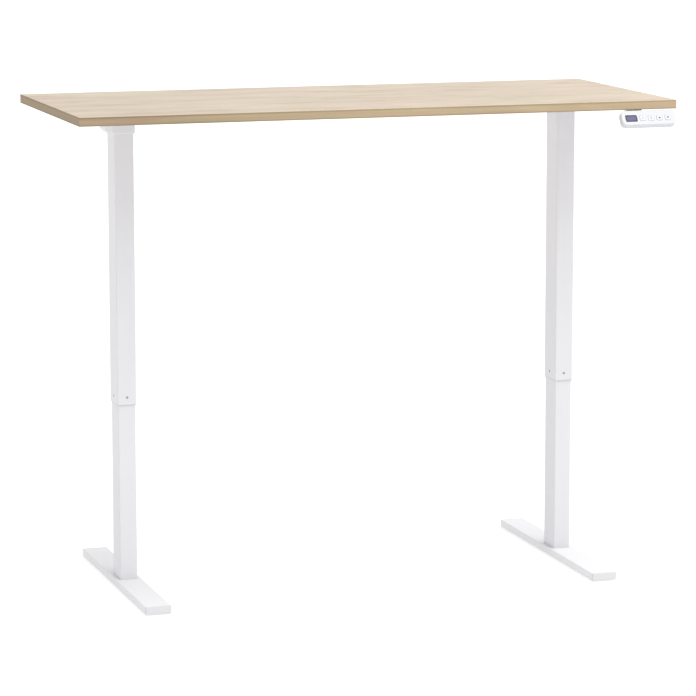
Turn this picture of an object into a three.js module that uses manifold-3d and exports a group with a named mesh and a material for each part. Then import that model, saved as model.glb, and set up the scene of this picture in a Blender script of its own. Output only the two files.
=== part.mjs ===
// Height adjustable standing desk: a laminated board on a two-column lifting frame.
// Millimetres, +Z up. The origin is on the floor, under the middle of the whole desk.
// The user sits at -Y. One motor turns both columns' spindles through a cross shaft.
import * as THREE from 'three';
import { mergeVertices } from 'three/addons/utils/BufferGeometryUtils.js';
import { ConvexGeometry } from 'three/addons/geometries/ConvexGeometry.js';
import Module from 'manifold-3d';

const wasm = await Module();
wasm.setup();

// ---------- driving dimensions ----------
const DESK_HEIGHT = 1118;
const ORIGIN_SHIFT = 8;
const TOP = { width: 1400, depth: 610, thickness: 20, band: 1 };
const UNDERSIDE = DESK_HEIGHT - TOP.thickness;

const COLUMN_X = 535;
const UPPER_TUBE = { x: 45, y: 72, wall: 1.2, radius: 3.5, bottom: 430, top: UNDERSIDE - 42 };
const LOWER_TUBE = { x: 41, y: 67, wall: 1.2, radius: 3, top: 638 };
const GLIDE = { gap: 0.15, upperHeight: 60, lowerHeight: 43, lip: 1.6, seam: 0.3 };
const GLIDE_SCREW = { radius: 2.5, clearance: 0.3, proud: 0.3, height: 17 };

const FOOT = { length: 620, width: 60, height: 17.5, wall: 1.8, radius: 2, gap: 2.5 };
const FOOT_TOP = FOOT.gap + FOOT.height;
const FOOT_CAP = { length: 6, corner: 3, plug: 12, clearance: 0.3 };
const LEVELLER = { y: 280, padRadius: 14, studRadius: 4, studTop: 15, clearance: 0.3 };

const ARM = { width: 60, length: 500, web: 3, flange: 2, deep: 20, shallow: 5.3, deepHalf: 80 };
const BEAM = { y: 44, z: 20, wall: 1.5, gap: 0.3, centre: UNDERSIDE - 14, overlapFrom: -60, overlapTo: 80 };
const SHAFT_Z = BEAM.centre;
const SHAFT = { acrossFlats: 7, endRadius: 2.5, endGap: 6.4 };

const GEARBOX = { top: UNDERSIDE - ARM.web, floor: 2, wall: 4, plug: 9, plugGap: 0.4, port: 5 };
const BEARING = { outer: 11, inner: 4.15, height: 7, clearance: 0.2 };
const GEAR = {
  teeth: 14, pitchRadius: 8, faceWidth: 3.8, addendum: 1, dedendum: 1.45, bore: 2.65, rim: 1.3,
};
const GEAR_HUB = { radius: 5.4, onShaft: 2.1, onSpindle: 15.3 };
const SPINDLE = { radius: 7, journal: 4, tip: 2.5, bottom: 548 };
const NUT = { depth: 24, flange: 3, gap: 0.3, bore: 7.4 };

const COVER = { x: 52, y: 80, radius: 7, bottom: UNDERSIDE - 46, top: UNDERSIDE - 4, gap: 0.3 };
const MOTOR = { radius: 20.8, nose: 9, x: -COLUMN_X - 4, z: UNDERSIDE - 33, front: 40, back: 94.5 };
const LOBE = { outer: 23, inner: 21.5, front: 30, back: 98, wall: 1.6, portZ: UNDERSIDE - 20 };

const CONTROL = { x: 200, y: 100, z: 27.5, centreY: 160, wall: 2, drop: 0.5, ear: 14, earHalfWidth: 12 };
const INLET = { x: 27, z: 19.5, depth: 18, recess: 12, rim: 2, wall: 1.8, offset: -60, height: 13.5 };
const LEAD_RADIUS = 2;
const LEAD_PORT = { y: 135, z: UNDERSIDE - 11, armY: 120, armDrop: 9 };
const LEAD_Z = UNDERSIDE - 2.7;

const HANDSET = {
  width: 132, height: 38, radius: 10.5, front: 5.5, back: 11.5, wall: 2, tilt: 34,
  x: 627, y: -TOP.depth / 2 - 0.8, z: UNDERSIDE - 1, leadX: -24, leadY: -11.7,
};
const HANDSET_TAB = { left: -45, right: -8, reach: 38, thickness: 3 };
const HANDSET_ROW = -21;
const DISPLAY = { x: -43, width: 28.5, height: 17, radius: 3, window: 2 };
const BUTTON = { first: -15.2, pitch: 20.6, width: 14, height: 13, radius: 3, proud: 0.9, gap: 0.3 };
const BUTTON_NAMES = ['preset_1_button', 'preset_2_button', 'up_button', 'down_button'];

// ---------- materials ----------
function finish(color, roughness, metalness) {
  return new THREE.MeshStandardMaterial({ color, roughness, metalness });
}

const MATERIALS = {
  oak: finish(0xdcc7a8, 0.55, 0),
  band: finish(0xb99f72, 0.55, 0),
  white: finish(0xeeeef0, 0.45, 0.1),
  whitePlastic: finish(0xf2f2f4, 0.4, 0),
  steel: finish(0xa9adb2, 0.35, 0.9),
  cast: finish(0x8d9196, 0.5, 0.8),
  black: finish(0x1c1d20, 0.5, 0),
  nylon: finish(0xe8e4da, 0.5, 0),
  lens: finish(0x4a4a66, 0.15, 0),
  board: finish(0x2c6b3e, 0.6, 0),
};

// ---------- shape helpers ----------
const desk = new THREE.Group();

function part(name, geometry, material, parent = desk) {
  const mesh = new THREE.Mesh(geometry, MATERIALS[material]);
  mesh.name = name;
  parent.add(mesh);
  return mesh;
}

// A closed geometry as a solid that can be joined and cut.
function solid(geometry) {
  const bare = new THREE.BufferGeometry();
  bare.setAttribute('position', geometry.getAttribute('position'));
  bare.setIndex(geometry.getIndex());
  const merged = mergeVertices(bare, 1e-4);
  const mesh = new wasm.Mesh({
    numProp: 3,
    vertProperties: new Float32Array(merged.getAttribute('position').array),
    triVerts: new Uint32Array(merged.getIndex().array),
  });
  return new wasm.Manifold(mesh);
}

function shaped(body) {
  const mesh = body.getMesh();
  const geometry = new THREE.BufferGeometry();
  geometry.setAttribute('position', new THREE.BufferAttribute(new Float32Array(mesh.vertProperties), 3));
  geometry.setIndex(new THREE.BufferAttribute(new Uint32Array(mesh.triVerts), 1));
  geometry.computeVertexNormals();
  return geometry;
}

function join(...geometries) {
  const [first, ...rest] = geometries.map(solid);
  return shaped(rest.reduce((body, next) => body.add(next), first));
}

function cut(geometry, ...tools) {
  return shaped(tools.map(solid).reduce((body, tool) => body.subtract(tool), solid(geometry)));
}

// A box between two corners.
function block(x0, x1, y0, y1, z0, z1) {
  const geometry = new THREE.BoxGeometry(x1 - x0, y1 - y0, z1 - z0);
  return geometry.translate((x0 + x1) / 2, (y0 + y1) / 2, (z0 + z1) / 2);
}

// A round rod from start to end along the axis 'x', 'y' or 'z', centred on the point (x, y, z).
function rod(axis, radius, start, end, x, y, z, segments = 24) {
  const geometry = new THREE.CylinderGeometry(radius, radius, end - start, segments);
  const middle = (start + end) / 2;
  if (axis === 'x') {
    return geometry.rotateZ(-Math.PI / 2).translate(middle, y, z);
  }
  if (axis === 'y') {
    return geometry.translate(x, middle, z);
  }
  return geometry.rotateX(Math.PI / 2).translate(x, y, middle);
}

function roundedRectangle(width, height, radius, into = new THREE.Shape()) {
  const x = width / 2;
  const y = height / 2;
  into.moveTo(x - radius, -y);
  into.absarc(x - radius, -y + radius, radius, -Math.PI / 2, 0, false);
  into.absarc(x - radius, y - radius, radius, 0, Math.PI / 2, false);
  into.absarc(-x + radius, y - radius, radius, Math.PI / 2, Math.PI, false);
  into.absarc(-x + radius, -y + radius, radius, Math.PI, 1.5 * Math.PI, false);
  into.closePath();
  return into;
}

// A rounded block standing on z0, centred on the Z axis.
function roundedBlock(width, height, radius, z0, z1, curveSegments = 3) {
  const shape = roundedRectangle(width, height, radius);
  const geometry = new THREE.ExtrudeGeometry(shape, { depth: z1 - z0, bevelEnabled: false, curveSegments });
  return geometry.translate(0, 0, z0);
}

// A rectangular tube with rounded corners, open at both ends, standing on z0.
function tube(width, height, radius, wall, z0, z1) {
  const shape = roundedRectangle(width, height, radius);
  const innerRadius = Math.max(radius - wall, 0.4);
  shape.holes.push(roundedRectangle(width - 2 * wall, height - 2 * wall, innerRadius, new THREE.Path()));
  const options = { depth: z1 - z0, bevelEnabled: false, curveSegments: 3 };
  return new THREE.ExtrudeGeometry(shape, options).translate(0, 0, z0);
}

// A rod along X on one side of the middle, from the near distance to the far one.
function sideRod(radius, side, near, far, y, z, segments = 16) {
  const [start, end] = side > 0 ? [near, far] : [-far, -near];
  return rod('x', radius, start, end, 0, y, z, segments);
}

// An outline in the YZ plane, swept along X between x0 and x1.
function sweptAlongX(points, x0, x1) {
  const shape = new THREE.Shape(points.map(([y, z]) => new THREE.Vector2(y, z)));
  const geometry = new THREE.ExtrudeGeometry(shape, { depth: x1 - x0, bevelEnabled: false });
  return geometry.rotateY(Math.PI / 2).rotateX(Math.PI / 2).translate(x0, 0, 0);
}

// ---------- desktop ----------
function desktop() {
  const { width, depth, thickness, band } = TOP;
  const coreX = width / 2 - band;
  const coreY = depth / 2 - band;
  const core = block(-coreX, coreX, -coreY, coreY, UNDERSIDE, DESK_HEIGHT);
  part('desktop_board', core, 'oak');
  const rim = cut(
    block(-width / 2, width / 2, -depth / 2, depth / 2, UNDERSIDE, DESK_HEIGHT),
    core.clone().scale(1, 1, 3).translate(0, 0, -2 * (UNDERSIDE + thickness / 2)),
  );
  part('edge_band', rim, 'band');
}

// ---------- frame under the board ----------
function sideArm(name, x, side) {
  const half = ARM.length / 2;
  const web = block(-ARM.width / 2, ARM.width / 2, -half, half, -ARM.web, 0);
  const outline = [
    [-half, -1], [-half, -ARM.shallow], [-ARM.deepHalf, -ARM.deep],
    [ARM.deepHalf, -ARM.deep], [half, -ARM.shallow], [half, -1],
  ];
  const left = sweptAlongX(outline, -ARM.width / 2, -ARM.width / 2 + ARM.flange);
  const right = sweptAlongX(outline, ARM.width / 2 - ARM.flange, ARM.width / 2);
  const inboard = -side * (ARM.width / 2 - ARM.flange / 2);
  const notchHalf = BEAM.y / 2 + 0.5;
  const notchTop = -ARM.web - BEAM.gap - 0.2;
  const notch = block(inboard - 2, inboard + 2, -notchHalf, notchHalf, -ARM.deep - 1, notchTop);
  const { armY, armDrop } = LEAD_PORT;
  const leadHole = rod('x', LEAD_RADIUS + 1.2, inboard - 2, inboard + 2, 0, armY, -armDrop, 16);
  const arm = cut(join(web, left, right), notch, leadHole);
  part(name, arm, 'white').position.set(x, 0, UNDERSIDE);
}

function beamTube(name, x0, x1, inset) {
  const geometry = tube(BEAM.z - 2 * inset, BEAM.y - 2 * inset, 2, BEAM.wall, x0, x1).rotateY(Math.PI / 2);
  part(name, geometry, 'white').position.set(0, 0, BEAM.centre);
}

function crossbeam() {
  const inset = BEAM.wall + BEAM.gap;
  beamTube('crossbeam_outer', -COLUMN_X + COVER.x / 2 + 0.3, BEAM.overlapTo, 0);
  beamTube('crossbeam_inner', BEAM.overlapFrom, COLUMN_X - UPPER_TUBE.x / 2 - 0.3, inset);
}

// ---------- bevel gears and shafts ----------
// A bevel gear whose pitch cone's apex is the origin, with its body below it on the Z axis.
function bevelGear(turnedBy, hubLength) {
  const { teeth, pitchRadius, faceWidth, addendum, dedendum, bore, rim } = GEAR;
  const outerCone = pitchRadius * Math.SQRT2;
  const innerCone = outerCone - faceWidth;
  const point = (cone, offset) => {
    const scaled = offset * cone / outerCone;
    return [(cone + scaled) / Math.SQRT2, (scaled - cone) / Math.SQRT2];
  };
  const [innerRoot, innerZ] = point(innerCone, -dedendum);
  const [outerRoot, outerZ] = point(outerCone, -dedendum);
  const cone = new THREE.CylinderGeometry(innerRoot, outerRoot, innerZ - outerZ, 14);
  cone.rotateX(Math.PI / 2).translate(0, 0, (innerZ + outerZ) / 2);
  const disc = rod('z', outerRoot, outerZ - rim, outerZ, 0, 0, 0, 14);
  const hub = rod('z', GEAR_HUB.radius, outerZ - rim - hubLength, outerZ - rim, 0, 0, 0, 14);
  const pitchHalfWidth = pitchRadius * Math.PI / teeth / 2 * 0.8;
  const slope = Math.tan(THREE.MathUtils.degToRad(20));
  const ribs = [];
  for (let i = 0; i < teeth; i += 1) {
    const corners = [];
    for (const distance of [innerCone, outerCone]) {
      for (const offset of [-dedendum * 1.25, addendum]) {
        const [radius, z] = point(distance, offset);
        const halfWidth = (pitchHalfWidth - offset * slope) * distance / outerCone;
        corners.push(new THREE.Vector3(radius, -halfWidth, z), new THREE.Vector3(radius, halfWidth, z));
      }
    }
    ribs.push(new ConvexGeometry(corners).rotateZ(2 * Math.PI * (i + turnedBy) / teeth));
  }
  const teethAndHub = join(cone, disc, hub, ...ribs);
  return cut(teethAndHub, rod('z', bore, outerZ - rim - hubLength - 1, 0, 0, 0, 0, 16));
}

// The spindle's gear stands on the spindle's shoulder.
function spindleGear(name, x) {
  part(name, bevelGear(0, GEAR_HUB.onSpindle), 'cast').position.set(x, 0, SHAFT_Z);
}

// The cross shaft's gear lies inboard of the column, its axis along X.
function shaftGear(name, x, side) {
  const gear = bevelGear(0.5, GEAR_HUB.onShaft).rotateY(side * Math.PI / 2);
  part(name, gear, 'cast').position.set(x, 0, SHAFT_Z);
}

function crossShaft() {
  const gearBack = GEAR.pitchRadius + GEAR.dedendum / Math.SQRT2 + GEAR.rim + GEAR_HUB.onShaft;
  const end = COLUMN_X - gearBack - 0.4;
  const corner = SHAFT.acrossFlats / Math.sqrt(3);
  const hexagon = new THREE.CylinderGeometry(corner, corner, 2 * end, 6).rotateZ(Math.PI / 2);
  const tips = [-1, 1].map((side) => sideRod(SHAFT.endRadius, side, end - 2, COLUMN_X - SHAFT.endGap, 0, 0));
  part('cross_shaft', join(hexagon, ...tips), 'steel').position.set(0, 0, SHAFT_Z);
}

function spindle(name, x) {
  const shoulder = UPPER_TUBE.top - GEARBOX.plug - 2;
  const seat = UPPER_TUBE.top + GEARBOX.floor;
  const top = SHAFT_Z - SHAFT.endGap;
  const screw = rod('z', SPINDLE.radius, SPINDLE.bottom, shoulder, 0, 0, 0, 20);
  const journal = rod('z', SPINDLE.journal, shoulder - 1, seat, 0, 0, 0, 20);
  const tip = rod('z', SPINDLE.tip, seat - 1, top, 0, 0, 0, 16);
  part(name, join(screw, journal, tip), 'steel').position.set(x, 0, 0);
}

// ---------- gearbox on top of a column ----------
function gearbox(name, x, side) {
  const bottom = UPPER_TUBE.top;
  const plugX = UPPER_TUBE.x - 2 * UPPER_TUBE.wall - 2 * GEARBOX.plugGap;
  const plugY = UPPER_TUBE.y - 2 * UPPER_TUBE.wall - 2 * GEARBOX.plugGap;
  const body = join(
    roundedBlock(UPPER_TUBE.x, UPPER_TUBE.y, UPPER_TUBE.radius, bottom, GEARBOX.top),
    roundedBlock(plugX, plugY, 2.5, bottom - GEARBOX.plug, bottom + 1),
  );
  const floor = bottom + GEARBOX.floor;
  const seatBottom = bottom - GEARBOX.plug + 2;
  const half = UPPER_TUBE.x / 2 - GEARBOX.wall;
  const cavity = block(-half, half, -half, half, floor, GEARBOX.top + 1);
  const seat = rod('z', BEARING.outer + BEARING.clearance, seatBottom, floor + 1, 0, 0, 0, 24);
  const throat = rod('z', SPINDLE.radius - 1.5, seatBottom - 3, floor, 0, 0, 0, 20);
  const port = sideRod(GEARBOX.port, -side, half - 1, UPPER_TUBE.x / 2 + 1, 0, SHAFT_Z, 20);
  part(name, cut(body, cavity, seat, throat, port), 'cast').position.set(x, 0, 0);
}

function bearing(name, x) {
  const base = UPPER_TUBE.top - GEARBOX.plug + 2 + BEARING.clearance;
  const ring = cut(
    rod('z', BEARING.outer, base, base + BEARING.height, 0, 0, 0, 24),
    rod('z', BEARING.inner, base - 1, base + BEARING.height + 1, 0, 0, 0, 20),
  );
  part(name, ring, 'steel').position.set(x, 0, 0);
}

// ---------- motor and its cover behind the left column ----------
function motor() {
  const { radius, nose, x, z, front, back } = MOTOR;
  const can = rod('y', radius, front, back, x, 0, z, 32);
  const snout = rod('y', nose, UPPER_TUBE.y / 2 + 0.3, front + 1, x, 0, z, 24);
  part('drive_motor', join(can, snout), 'black');
}

function motorCover() {
  const lobeX = MOTOR.x + COLUMN_X;
  const { x, y, radius, bottom, top, gap } = COVER;
  const collar = roundedBlock(x, y, radius, bottom, top, 4);
  const lobe = rod('y', LOBE.outer, LOBE.front, LOBE.back, lobeX, 0, MOTOR.z, 36);
  const coreX = UPPER_TUBE.x + 2 * gap;
  const core = roundedBlock(coreX, UPPER_TUBE.y + 2 * gap, UPPER_TUBE.radius + gap, MOTOR.z - 30, top + 1);
  const hollow = rod('y', LOBE.inner, LOBE.front - 10, LOBE.back - LOBE.wall, lobeX, 0, MOTOR.z, 36);
  const shaftPort = sideRod(GEARBOX.port + 1, 1, x / 2 - 4, x / 2 + 2, 0, SHAFT_Z, 20);
  const leadPort = rod('y', LEAD_RADIUS + 0.6, LOBE.back - 4, LOBE.back + 2, lobeX, 0, LOBE.portZ, 16);
  const cover = cut(join(collar, lobe), core, hollow, shaftPort, leadPort);
  part('motor_cover', cover, 'whitePlastic').position.set(-COLUMN_X, 0, 0);
}

// ---------- telescopic columns ----------
// A glide screw's rod, or with a margin its hole, through the wall that lies at reach along the axis.
function glideScrew(axis, reach, margin = 0, overrun = 0) {
  const outside = Math.abs(reach) + GLIDE_SCREW.proud + overrun;
  const inside = Math.abs(reach) - UPPER_TUBE.wall + 0.1 - overrun;
  const [start, end] = reach < 0 ? [-outside, -inside] : [inside, outside];
  const z = UPPER_TUBE.bottom + GLIDE_SCREW.height;
  return rod(axis, GLIDE_SCREW.radius + margin, start, end, 0, 0, z, 16);
}

function upperTube(label, x, side) {
  const faces = [
    ['front', 'y', -UPPER_TUBE.y / 2],
    ['back', 'y', UPPER_TUBE.y / 2],
    ['outer', 'x', side * UPPER_TUBE.x / 2],
    ['inner', 'x', -side * UPPER_TUBE.x / 2],
  ];
  for (const [face, axis, reach] of faces) {
    part(`${label}_glide_screw_${face}`, glideScrew(axis, reach), 'steel').position.set(x, 0, 0);
  }
  const holes = faces.map(([, axis, reach]) => glideScrew(axis, reach, GLIDE_SCREW.clearance, 1));
  const { x: width, y: depth, radius, wall, bottom, top } = UPPER_TUBE;
  const wallTube = tube(width, depth, radius, wall, bottom, top);
  part(`${label}_upper_tube`, cut(wallTube, ...holes), 'white').position.set(x, 0, 0);
}

function lowerTube(label, x) {
  const { x: width, y: depth, radius, wall, top } = LOWER_TUBE;
  const wallTube = tube(width, depth, radius, wall, FOOT_TOP, top);
  part(`${label}_lower_tube`, wallTube, 'white').position.set(x, 0, 0);
}

// The clear space that a glide leaves for the lower tube.
function glideBore(z0, z1) {
  const { x, y, radius } = LOWER_TUBE;
  return roundedBlock(x + 2 * GLIDE.gap, y + 2 * GLIDE.gap, radius + GLIDE.gap, z0 - 1, z1 + 1);
}

// A sleeve between the two tubes of a column.
function glideSleeve(z0, z1) {
  const sleeveX = UPPER_TUBE.x - 2 * UPPER_TUBE.wall - 2 * GLIDE.gap;
  const sleeveY = UPPER_TUBE.y - 2 * UPPER_TUBE.wall - 2 * GLIDE.gap;
  return roundedBlock(sleeveX, sleeveY, UPPER_TUBE.radius - UPPER_TUBE.wall - GLIDE.gap, z0, z1);
}

// The lower glide ends in a lip under the upper tube's rim, and the upper glide is a plain sleeve.
function glides(label, x) {
  const upperStart = LOWER_TUBE.top - GLIDE.upperHeight;
  const upper = cut(glideSleeve(upperStart, LOWER_TUBE.top), glideBore(upperStart, LOWER_TUBE.top));
  part(`${label}_upper_glide`, upper, 'nylon').position.set(x, 0, 0);

  const start = UPPER_TUBE.bottom - GLIDE.lip;
  const end = UPPER_TUBE.bottom + GLIDE.lowerHeight;
  const { x: width, y: depth, radius } = UPPER_TUBE;
  const lip = roundedBlock(width - 1, depth - 1, radius - 0.5, start, UPPER_TUBE.bottom - GLIDE.seam);
  const lower = cut(join(glideSleeve(start, end), lip), glideBore(start, end));
  part(`${label}_lower_glide`, lower, 'nylon').position.set(x, 0, 0);
}

function spindleNut(label, x) {
  const { x: width, y: depth, radius, wall, top } = LOWER_TUBE;
  const inset = wall + NUT.gap;
  const plug = roundedBlock(width - 2 * inset, depth - 2 * inset, radius - inset, top - NUT.depth, top + 1);
  const flange = roundedBlock(width, depth, radius, top, top + NUT.flange);
  const bore = rod('z', NUT.bore, top - NUT.depth - 1, top + NUT.flange + 1, 0, 0, 0, 20);
  part(`${label}_spindle_nut`, cut(join(plug, flange), bore), 'nylon').position.set(x, 0, 0);
}

// ---------- feet ----------
// An end cap seen from above: rounded outer corners, then a plug that enters the foot tube.
function footCap(name, x, end) {
  const half = FOOT.width / 2;
  const { length, corner, plug, clearance } = FOOT_CAP;
  const shape = new THREE.Shape();
  shape.moveTo(-half, 0);
  shape.lineTo(half, 0);
  shape.lineTo(half, length - corner);
  shape.absarc(half - corner, length - corner, corner, 0, Math.PI / 2, false);
  shape.absarc(-half + corner, length - corner, corner, Math.PI / 2, Math.PI, false);
  shape.closePath();
  const options = { depth: FOOT.height, bevelEnabled: false, curveSegments: 5 };
  const face = new THREE.ExtrudeGeometry(shape, options);
  const inset = FOOT.wall + clearance;
  const tongue = block(-half + inset, half - inset, -plug, 1, inset, FOOT.height - inset);
  const cap = join(face, tongue);
  if (end < 0) {
    cap.rotateZ(Math.PI);
  }
  part(name, cap, 'whitePlastic').position.set(x, end * (FOOT.length / 2 - length), FOOT.gap);
}

function leveller(name, x, y) {
  const pad = rod('z', LEVELLER.padRadius, 0, FOOT.gap, 0, y, 0, 24);
  const stud = rod('z', LEVELLER.studRadius, FOOT.gap - 1, LEVELLER.studTop, 0, y, 0, 16);
  part(name, join(pad, stud), 'black').position.set(x, 0, 0);
}

function foot(label, x) {
  const half = FOOT.length / 2 - FOOT_CAP.length;
  const pipe = tube(FOOT.width, FOOT.height, FOOT.radius, FOOT.wall, -half, half);
  pipe.rotateX(Math.PI / 2).translate(0, 0, FOOT.gap + FOOT.height / 2);
  const holeRadius = LEVELLER.studRadius + LEVELLER.clearance;
  const holes = [-1, 1].map((end) => (
    rod('z', holeRadius, FOOT.gap - 1, FOOT.gap + FOOT.wall + 1, 0, end * LEVELLER.y, 0, 16)));
  part(`${label}_foot`, cut(pipe, ...holes), 'white').position.set(x, 0, 0);
  for (const [where, end] of [['front', -1], ['back', 1]]) {
    footCap(`${label}_foot_cap_${where}`, x, end);
    leveller(`${label}_leveller_${where}`, x, end * LEVELLER.y);
  }
}

// ---------- control box behind the beam ----------
function controlBox() {
  const { x, y, z, centreY, wall, drop, ear, earHalfWidth } = CONTROL;
  const top = UNDERSIDE - drop;
  const front = centreY - y / 2;
  const back = centreY + y / 2;
  const plate = block(-x / 2, x / 2, front, back, top - wall, top);
  const earX = x / 2 + ear;
  const ears = block(-earX, earX, centreY - earHalfWidth, centreY + earHalfWidth, top - wall, top);
  part('control_box_lid', join(plate, ears), 'black');

  const rim = top - wall - 0.1;
  const bottom = top - z;
  const shell = block(-x / 2, x / 2, front, back, bottom, rim);
  const inside = block(-x / 2 + wall, x / 2 - wall, front + wall, back - wall, bottom + wall, rim + 1);
  const halfX = INLET.x / 2 + 0.3;
  const halfZ = INLET.z / 2 + 0.3;
  const inletHole = block(-halfX, halfX, back - wall - 1, back + 1, -halfZ, halfZ);
  inletHole.translate(INLET.offset, 0, bottom + INLET.height);
  const ports = [-1, 1].map((side) => (
    sideRod(LEAD_RADIUS + 0.4, side, x / 2 - 4, x / 2 + 2, LEAD_PORT.y, LEAD_PORT.z)));
  part('control_box_shell', cut(shell, inside, inletHole, ...ports), 'black');
  powerInlet(back, bottom + INLET.height);
}

// The mains socket: a body through the wall, a flange outside it and a recess for the plug.
function powerInlet(face, z) {
  const { x, z: height, depth, recess, rim, wall, offset } = INLET;
  const body = block(-x / 2, x / 2, face - depth, face + 0.5, -height / 2, height / 2);
  const flangeX = x / 2 + rim;
  const flangeZ = height / 2 + rim - 0.4;
  const flange = block(-flangeX, flangeX, face + 0.2, face + 1.8, -flangeZ, flangeZ);
  const space = block(-x / 2 + wall, x / 2 - wall, face + 1.8 - recess, face + 4, -height / 2 + wall,
    height / 2 - wall);
  part('power_inlet', cut(join(body, flange), space), 'black').position.set(offset, 0, z);
}

// ---------- leads clipped under the board ----------
function lead(name, steps, points) {
  const route = new THREE.CatmullRomCurve3(points.map(([x, y, z]) => new THREE.Vector3(x, y, z)), false,
    'centripetal');
  const section = new THREE.Shape();
  section.absarc(0, 0, LEAD_RADIUS, 0, 2 * Math.PI, false);
  const geometry = new THREE.ExtrudeGeometry(section, { steps, extrudePath: route, curveSegments: 4 });
  part(name, shaped(solid(geometry)), 'black');
}

function leads() {
  const { y: portY, z: portZ } = LEAD_PORT;
  lead('motor_lead', 40, [
    [MOTOR.x, LOBE.back - 1, LOBE.portZ], [MOTOR.x, 106, UNDERSIDE - 18], [-532, 117, UNDERSIDE - 11],
    [-518, 120, UNDERSIDE - 9], [-494, 120, UNDERSIDE - 9], [-476, 120, UNDERSIDE - 6.5],
    [-458, 121, LEAD_Z], [-420, 124, LEAD_Z], [-300, 130, LEAD_Z], [-160, portY, LEAD_Z],
    [-138, portY, UNDERSIDE - 5], [-122, portY, UNDERSIDE - 10], [-110, portY, portZ], [-99, portY, portZ],
  ]);
  const x = HANDSET.x + HANDSET.leadX;
  lead('handset_lead', 64, [
    [x, -299.6, UNDERSIDE - 19.3], [x, -295.4, UNDERSIDE - 22.1], [x, -288, UNDERSIDE - 23.5],
    [x - 1, -279, UNDERSIDE - 18], [x - 3, -270, UNDERSIDE - 8.5], [x - 8, -262, UNDERSIDE - 3.8],
    [x - 20, -257.5, LEAD_Z],
    [x - 70, -257, LEAD_Z], [x - 111, -256, LEAD_Z], [x - 123, -250, LEAD_Z], [478, -236, LEAD_Z],
    [476, -120, LEAD_Z], [476, 0, LEAD_Z], [476, 100, LEAD_Z], [470, 120, LEAD_Z], [452, 128, LEAD_Z],
    [320, 133, LEAD_Z], [160, portY, LEAD_Z], [138, portY, UNDERSIDE - 5], [122, portY, UNDERSIDE - 10],
    [110, portY, portZ], [99, portY, portZ],
  ]);
}

// ---------- handset ----------
// Local axes: X along the desk's edge, Y up the face, Z out of the face. Y = 0 is the top edge.
function handset() {
  const group = new THREE.Group();
  group.position.set(HANDSET.x, HANDSET.y, HANDSET.z);
  group.rotation.x = THREE.MathUtils.degToRad(90 - HANDSET.tilt);
  desk.add(group);
  const { width, height, radius, front, back, wall, leadX, leadY } = HANDSET;
  const middle = -height / 2;
  const slab = (inset, z0, z1) => {
    const geometry = roundedBlock(width - 2 * inset, height - 2 * inset, radius - inset, z0, z1, 5);
    return geometry.translate(0, middle, 0);
  };
  const at = (x, w, h, r, z0, z1) => roundedBlock(w, h, r, z0, z1, 3).translate(x, HANDSET_ROW, 0);
  const buttonX = BUTTON_NAMES.map((_, i) => BUTTON.first + i * BUTTON.pitch);

  const { window: ledge } = DISPLAY;
  const openings = [
    at(DISPLAY.x, DISPLAY.width + 0.4, DISPLAY.height + 0.4, DISPLAY.radius, -1.1, 1),
    at(DISPLAY.x, DISPLAY.width - 2 * ledge, DISPLAY.height - 2 * ledge, 1.5, -front, 1),
  ];
  const openingWidth = BUTTON.width + 2 * BUTTON.gap;
  const openingHeight = BUTTON.height + 2 * BUTTON.gap;
  for (const x of buttonX) {
    openings.push(at(x, openingWidth, openingHeight, BUTTON.radius, -front, 1));
  }
  const shell = cut(slab(0, -front, 0), slab(wall, -front - 1, -wall), ...openings);
  part('handset_front', shell, 'whitePlastic', group);

  const tilt = THREE.MathUtils.degToRad(HANDSET.tilt);
  const sine = Math.sin(tilt);
  const cosine = Math.cos(tilt);
  const local = ([y, z]) => [y * sine + z * cosine, z * sine - y * cosine];
  const { left, right, reach, thickness } = HANDSET_TAB;
  const low = 0.7 - thickness;
  const tabOutline = [[7, -6.4], [14, 0.7], [reach, 0.7], [reach, low], [24, low], [16, -12.5], [11, -9.5]];
  const tab = sweptAlongX(tabOutline.map(local), left, right);
  const depth = front + back;
  const tray = join(slab(0, -depth, -front - 0.3), tab);
  const space = slab(wall, -depth + wall, -front + 1);
  const leadHole = rod('z', LEAD_RADIUS + 0.5, -depth - 2, -depth + wall + 1, leadX, leadY, 0, 16);
  part('handset_back', cut(tray, space, leadHole), 'whitePlastic', group);

  const lens = at(DISPLAY.x, DISPLAY.width, DISPLAY.height, DISPLAY.radius, -0.9, 0.05);
  part('handset_display', lens, 'lens', group);

  const board = slab(wall + 3, -front - 2.6, -front - 1);
  part('handset_board', board, 'board', group);

  BUTTON_NAMES.forEach((name, i) => {
    const cap = at(buttonX[i], BUTTON.width, BUTTON.height, BUTTON.radius, -wall - 1.2, BUTTON.proud);
    const flangeWidth = BUTTON.width + 2;
    const flangeHeight = BUTTON.height + 2;
    const flange = at(buttonX[i], flangeWidth, flangeHeight, BUTTON.radius, -wall - 1.4, -wall - 0.3);
    part(name, join(cap, flange), 'whitePlastic', group);
  });
}

// ---------- assembly ----------
desktop();
crossbeam();
crossShaft();
for (const [label, side] of [['left', -1], ['right', 1]]) {
  const x = side * COLUMN_X;
  sideArm(`${label}_side_arm`, x, side);
  gearbox(`${label}_gearbox`, x, side);
  bearing(`${label}_bearing`, x);
  spindle(`${label}_spindle`, x);
  spindleGear(`${label}_spindle_gear`, x);
  shaftGear(`${label}_shaft_gear`, x, side);
  upperTube(label, x, side);
  lowerTube(label, x);
  glides(label, x);
  spindleNut(label, x);
  foot(label, x);
}
motor();
motorCover();
controlBox();
leads();
handset();

// The handset reaches past the board's front edge, so the origin is set under the middle of the whole.
desk.position.y = ORIGIN_SHIFT;

export default desk;
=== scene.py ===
import math

import bmesh
import bpy
from mathutils import Matrix, Vector


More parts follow.
